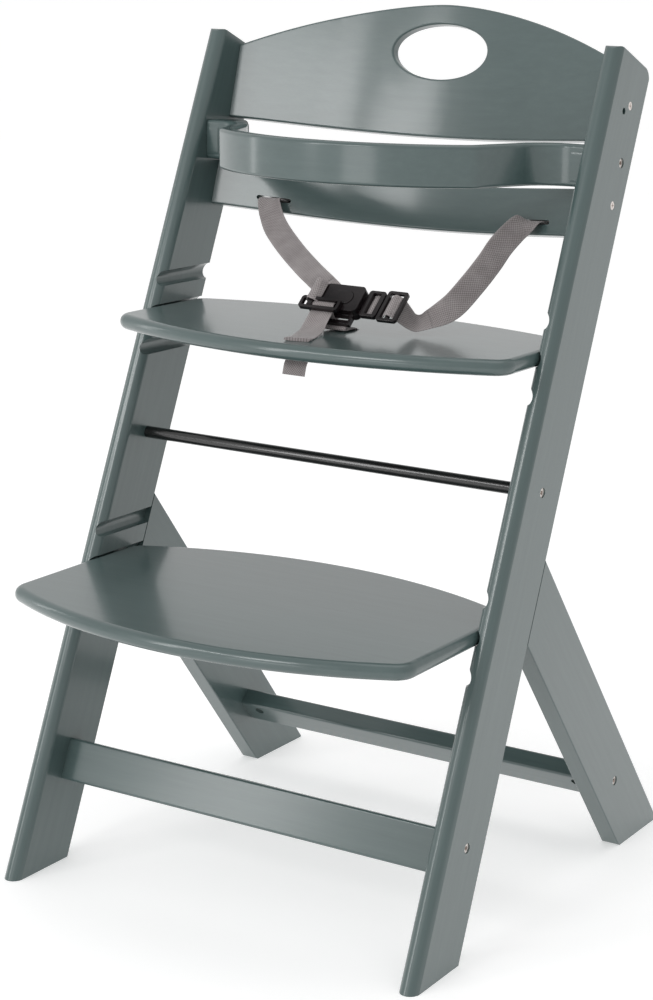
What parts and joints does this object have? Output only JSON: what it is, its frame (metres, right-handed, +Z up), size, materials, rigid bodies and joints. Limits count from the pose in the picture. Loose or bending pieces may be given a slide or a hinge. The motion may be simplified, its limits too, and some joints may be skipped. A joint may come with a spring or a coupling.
{
  "type": "baby high chair",
  "caption": "Step high chair with leaning side posts, a seat and a footrest held in grooves, two backrests, a guard rail and a three-point harness.",
  "frame": {"origin": "on the floor under the middle of the chair, at the centre of its footprint", "axes": "+Z up, the child looks along -Y, +X to the child's left"},
  "size_m": [0.47, 0.5436, 0.8376],
  "materials": {
    "wood": "sage green satin paint over beech",
    "steel": "nickel-plated",
    "black_metal": "black gloss coat",
    "black_plastic": "smooth moulded",
    "webbing": "woven warm grey webbing",
    "beech": "raw turned dowel"
  },
  "bodies": {
    "frame": {"side_post_left": "wood", "side_post_right": "wood", "rear_leg_left": "wood", "rear_leg_right": "wood", "leg_dowels": "beech", "front_crossbar": "wood", "rear_crossbar": "wood", "tie_rod": "black_metal", "crossbar_bolts": "steel", "front_barrel_nuts": "steel", "rear_barrel_nuts": "steel", "tie_rod_bolts": "steel", "backrest_upper": "wood", "backrest_lower": "wood", "backrest_screws": "steel", "guard_rail": "wood", "guard_bolts": "steel", "guard_inserts": "steel", "strap_stops": "black_plastic", "waist_strap_left": "webbing", "waist_strap_right": "webbing"},
    "seat": {"seat_plate": "wood", "crotch_strap": "webbing", "crotch_strap_stop": "black_plastic", "buckle_base": "black_plastic", "buckle_cover": "black_plastic"},
    "footrest": {"footrest_plate": "wood"},
    "button": {"release_button": "black_plastic"},
    "left_tongue": {"tongue_left": "black_plastic"},
    "right_tongue": {"tongue_right": "black_plastic", "strap_slider": "black_plastic"}
  },
  "joints": [
    {"name": "seat_depth", "type": "slide", "parent": "frame", "child": "seat", "axis": [0, -1, 0], "range_m": [-0.03, 0.04], "deforming": ["waist_strap_left", "waist_strap_right"]},
    {"name": "footrest_depth", "type": "slide", "parent": "frame", "child": "footrest", "axis": [0, -1, 0], "range_m": [0, 0.04]},
    {"name": "button_press", "type": "slide", "parent": "seat", "child": "button", "axis": [0, 0.6691, -0.7431], "range_m": [0, 0.0015], "stiffness_N_per_m": 900, "springref_m": -0.001},
    {"name": "left_tongue_pull", "type": "slide", "parent": "seat", "child": "left_tongue", "axis": [-1, 0, 0], "range_m": [0, 0.012], "deforming": ["waist_strap_left"]},
    {"name": "right_tongue_pull", "type": "slide", "parent": "seat", "child": "right_tongue", "axis": [1, 0, 0], "range_m": [0, 0.012], "deforming": ["waist_strap_right"]}
  ]
}
